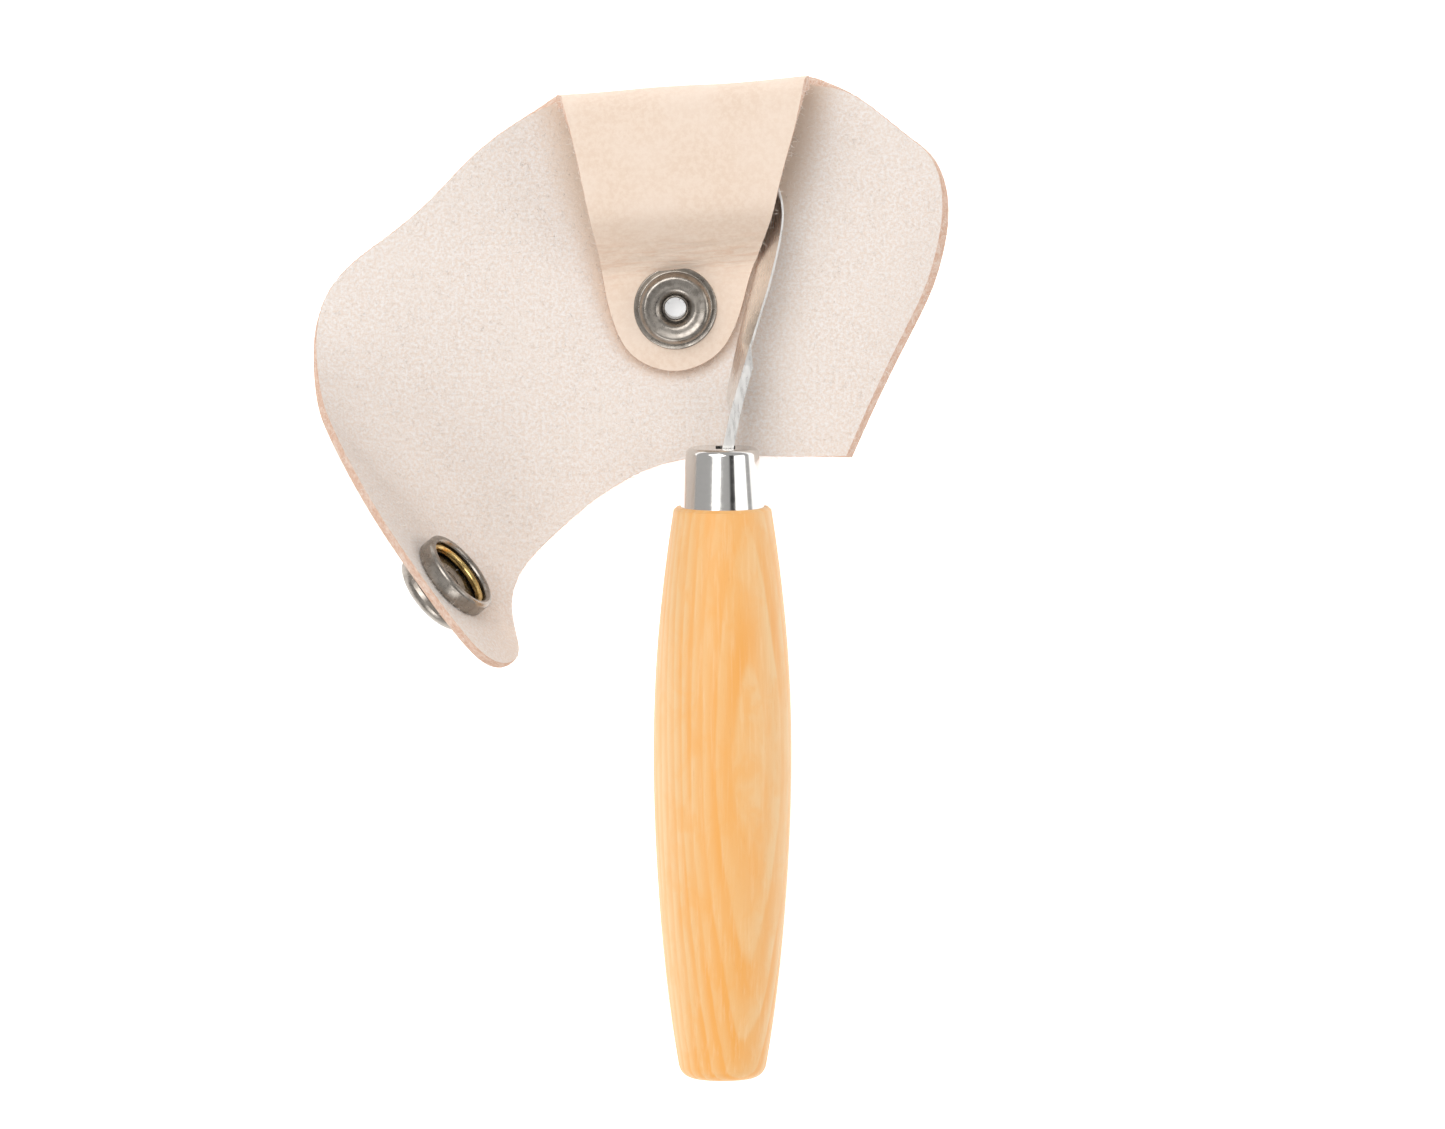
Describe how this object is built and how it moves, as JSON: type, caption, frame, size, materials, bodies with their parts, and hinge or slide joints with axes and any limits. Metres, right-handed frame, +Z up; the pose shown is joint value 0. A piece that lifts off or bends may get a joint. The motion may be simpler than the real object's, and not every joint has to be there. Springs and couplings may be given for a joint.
{
  "type": "hook knife with leather snap sheath",
  "caption": "Hook knife for spoon carving with a barrel-shaped birch handle and steel ferrule, lying in its opened wrap-around leather sheath with a ring snap.",
  "frame": {"origin": "under the middle of the bounding box, on the surface that the opened sheath lies on", "axes": "+Z up, square to the open sheath; +Y along the knife, from the handle's end to the hook; +X to the right when the flesh side is seen with the hook at the top"},
  "size_m": [0.112, 0.1764, 0.0294],
  "materials": {
    "leather": "undyed vegetable-tanned leather, fuzzy flesh side and smooth grain side",
    "snap_metal": "dark antique nickel, satin",
    "spring_brass": "bright drawn wire",
    "birch": "oiled, satin",
    "ferrule_steel": "polished",
    "blade_steel": "polished inner face, ground bevels"
  },
  "bodies": {
    "sheath": {"back_panel": "leather", "loop_flap": "leather", "stud_post": "snap_metal", "snap_stud": "snap_metal"},
    "left_strip": {"left_strip": "leather"},
    "left_wing": {"left_wing": "leather"},
    "tab": {"snap_tab": "leather", "socket_shell": "snap_metal", "socket_spring": "spring_brass", "cap_shell": "snap_metal", "cap_post": "snap_metal"},
    "right_strip": {"right_strip": "leather"},
    "right_lip": {"right_lip": "leather"},
    "knife": {"handle": "birch", "ferrule": "ferrule_steel", "blade": "blade_steel"}
  },
  "joints": [
    {"name": "left_fold", "type": "hinge", "parent": "sheath", "child": "left_strip", "pos_m": [-0.01217, 0.02458, 0.00271], "axis": [-0.7465, 0.6653, 0], "range_deg": [0, 90]},
    {"name": "left_wing_fold", "type": "hinge", "parent": "left_strip", "child": "left_wing", "pos_m": [-0.01976, 0.01607, 0.00271], "axis": [-0.7465, 0.6653, 0], "range_deg": [0, 90]},
    {"name": "tab_straighten", "type": "hinge", "parent": "left_wing", "child": "tab", "pos_m": [-0.01409, -0.01282, 0.00272], "axis": [0.6451, -0.7641, 0], "range_deg": [0, 76]},
    {"name": "right_fold", "type": "hinge", "parent": "sheath", "child": "right_strip", "pos_m": [0.02801, 0.02121, 0.00271], "axis": [-0.0622, -0.9981, 0], "range_deg": [0, 88]},
    {"name": "lip_fold", "type": "hinge", "parent": "right_strip", "child": "right_lip", "pos_m": [0.04646, 0.07291, 0.00301], "axis": [-0.062, -0.9955, 0.0723], "range_deg": [0, 58]},
    {"name": "knife_draw", "type": "slide", "parent": "sheath", "child": "knife", "axis": [0.9976, 0, 0.0698], "range_m": [0, 0.12]}
  ],
  "couplings": [
    {"joint": "left_wing_fold", "follows": "left_fold", "ratio": 1},
    {"joint": "tab_straighten", "follows": "left_fold", "ratio": 0.84444},
    {"joint": "lip_fold", "follows": "right_fold", "ratio": 0.65909}
  ]
}
